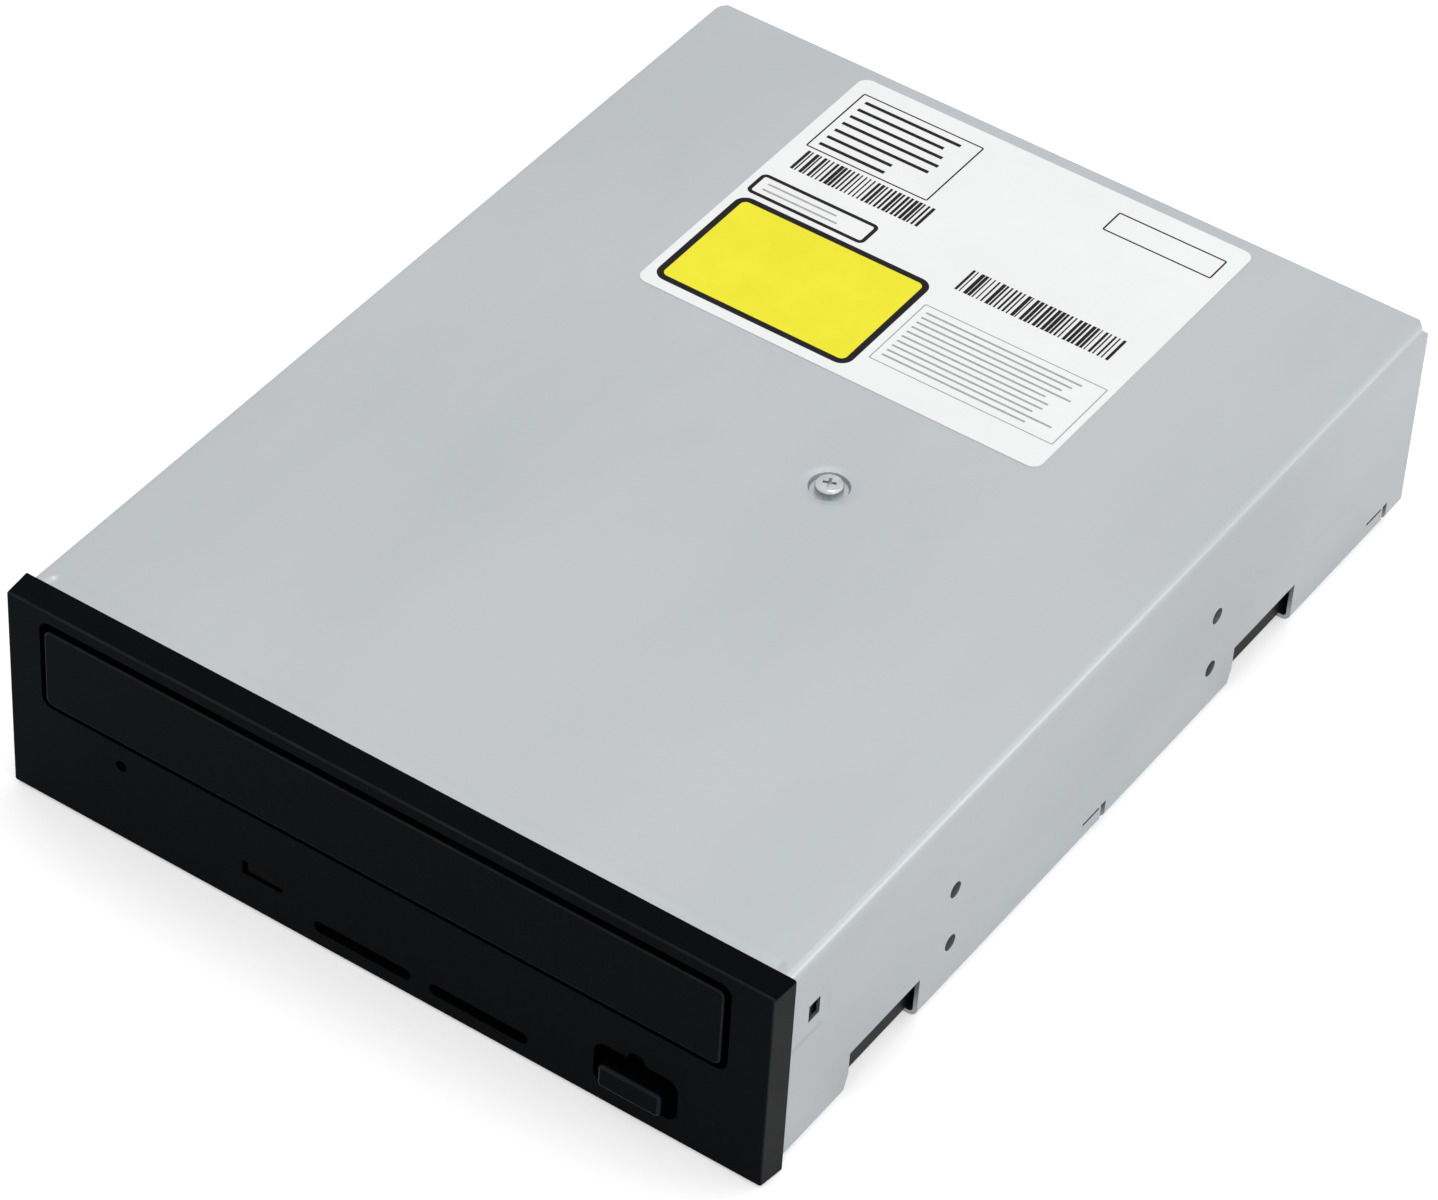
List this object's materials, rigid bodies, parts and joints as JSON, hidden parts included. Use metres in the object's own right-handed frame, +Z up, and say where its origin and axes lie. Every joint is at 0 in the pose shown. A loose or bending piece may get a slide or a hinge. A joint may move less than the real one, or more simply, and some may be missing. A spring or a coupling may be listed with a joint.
{
  "type": "disc drive",
  "caption": "Half-height internal optical disc drive with a motorised loading tray, eject button, cam-lifted spindle and pickup, folded steel case and rear sockets.",
  "frame": {"origin": "centre of the four bottom mounting holes, on the mounting plane", "axes": "+X to the drive's right seen from its front, +Y to its rear, +Z up"},
  "size_m": [0.148, 0.1991, 0.0422],
  "materials": {
    "steel_sheet": "zinc-plated sheet steel, fine satin",
    "bezel_plastic": "black moulded ABS, fine matt grain",
    "window_plastic": "dark translucent acrylic",
    "frame_plastic": "black moulded plastic, smooth",
    "tray_plastic": "black moulded plastic, satin",
    "acetal": "white acetal",
    "label_film": "white printed film",
    "screw_steel": "zinc-plated steel",
    "motor_steel": "drawn steel can",
    "brass": "turned brass",
    "rubber": "black rubber",
    "board_green": "glass-epoxy board with green mask",
    "chip_black": "black epoxy",
    "magnet": "plated magnet",
    "shaft_steel": "ground steel",
    "zinc_cast": "die-cast, as cast",
    "lens_glass": "coated moulded lens",
    "led_resin": "tinted resin",
    "film_cable": "polyimide ribbon",
    "white_nylon": "white nylon",
    "contact_metal": "plated contacts",
    "capacitor_can": "aluminium can"
  },
  "bodies": {
    "case": {"top_cover": "steel_sheet", "bottom_cover": "steel_sheet", "flange_screws": "screw_steel", "cover_screw": "screw_steel", "rating_label": "label_film", "front_bezel": "bezel_plastic", "status_window": "window_plastic", "loader_frame": "frame_plastic", "clamper_bridge": "steel_sheet", "loading_motor": "motor_steel", "drive_belt": "rubber", "front_board": "board_green", "eject_switch": "chip_black", "status_led": "led_resin", "front_ribbon": "film_cable", "tray_switch": "chip_black", "main_board": "board_green", "board_screws": "screw_steel", "controller_chips": "chip_black", "board_capacitors": "capacitor_can", "ribbon_sockets": "white_nylon", "ide_connector": "chip_black", "ide_pins": "contact_metal", "power_connector": "white_nylon", "power_pins": "contact_metal", "jumper_block": "chip_black", "jumper_cap": "chip_black", "audio_connector": "chip_black"},
    "tray": {"disc_tray": "tray_plastic", "tray_door": "bezel_plastic"},
    "tray_gear": {"tray_gear": "acetal"},
    "pulley_gear": {"pulley_gear": "acetal"},
    "motor_pulley": {"motor_pulley": "brass"},
    "button": {"eject_button": "bezel_plastic", "switch_plunger": "acetal"},
    "cam": {"cam_slider": "acetal"},
    "traverse": {"traverse_holder": "frame_plastic", "traverse_plate": "steel_sheet", "damper_grommets": "rubber", "damper_screws": "screw_steel", "spindle_base": "board_green", "main_guide_shaft": "shaft_steel", "sub_guide_shaft": "shaft_steel", "shaft_holders": "frame_plastic", "feed_motor": "motor_steel", "pickup_ribbon": "film_cable"},
    "spindle": {"spindle_rotor": "motor_steel", "turntable": "acetal", "turntable_pad": "rubber", "centring_cone": "acetal"},
    "lead_screw": {"lead_screw": "shaft_steel"},
    "pickup": {"pickup_body": "zinc_cast", "actuator_cover": "steel_sheet", "lens_wires": "contact_metal", "feed_rack": "acetal"},
    "lens": {"lens_holder": "frame_plastic", "objective_lens": "lens_glass"},
    "clamper": {"clamper_hub": "acetal", "clamper_magnet": "magnet", "clamper_yoke": "steel_sheet"}
  },
  "joints": [
    {"name": "tray_slide", "type": "slide", "parent": "case", "child": "tray", "axis": [0, -1, 0], "range_m": [0, 0.138]},
    {"name": "tray_gear_spin", "type": "hinge", "parent": "case", "child": "tray_gear", "pos_m": [0.048, -0.06302, 0.0127], "axis": [0, 0, -1], "range_deg": [0, 880]},
    {"name": "pulley_gear_spin", "type": "hinge", "parent": "case", "child": "pulley_gear", "pos_m": [0.0277, -0.07041, 0.0127], "axis": [0, 0, 1], "range_deg": [0, 2515]},
    {"name": "motor_pulley_spin", "type": "hinge", "parent": "case", "child": "motor_pulley", "pos_m": [-0.012, -0.06663, 0.0207], "axis": [0, 0, 1], "range_deg": [0, 6520]},
    {"name": "eject_press", "type": "slide", "parent": "case", "child": "button", "axis": [0, 1, 0], "range_m": [0, 0.0008], "stiffness_N_per_m": 500, "springref_m": -0.0004},
    {"name": "cam_slide", "type": "slide", "parent": "case", "child": "cam", "axis": [1, 0, 0], "range_m": [0, 0.014]},
    {"name": "traverse_tilt", "type": "hinge", "parent": "case", "child": "traverse", "pos_m": [0, 0.076, 0.016], "axis": [-1, 0, 0], "range_deg": [0, 5.62]},
    {"name": "spindle_spin", "type": "hinge", "parent": "traverse", "child": "spindle", "pos_m": [-0.0005, -0.01547, 0.01607], "axis": [0, -0.0976, 0.9952], "continuous": true},
    {"name": "pickup_feed", "type": "slide", "parent": "traverse", "child": "pickup", "axis": [0, 0.9952, 0.0976], "range_m": [0, 0.035]},
    {"name": "lead_screw_spin", "type": "hinge", "parent": "traverse", "child": "lead_screw", "pos_m": [0.036, 0.01993, 0.01402], "axis": [0, 0.9952, 0.0976], "range_deg": [0, 4201]},
    {"name": "lens_focus", "type": "slide", "parent": "pickup", "child": "lens", "axis": [0, -0.0976, 0.9952], "range_m": [-0.0006, 0.0006], "stiffness_N_per_m": 40},
    {"name": "clamper_spin", "type": "hinge", "parent": "case", "child": "clamper", "pos_m": [-0.0005, -0.01503, 0.0357], "axis": [0, 0, 1], "continuous": true}
  ],
  "couplings": [
    {"joint": "tray_gear_spin", "follows": "tray_slide", "rad_per_m": 111.11},
    {"joint": "pulley_gear_spin", "follows": "tray_slide", "rad_per_m": 317.46},
    {"joint": "motor_pulley_spin", "follows": "tray_slide", "rad_per_m": 822.51},
    {"joint": "traverse_tilt", "follows": "cam_slide", "rad_per_m": 6.9813},
    {"joint": "lead_screw_spin", "follows": "pickup_feed", "rad_per_m": 2094.4}
  ]
}
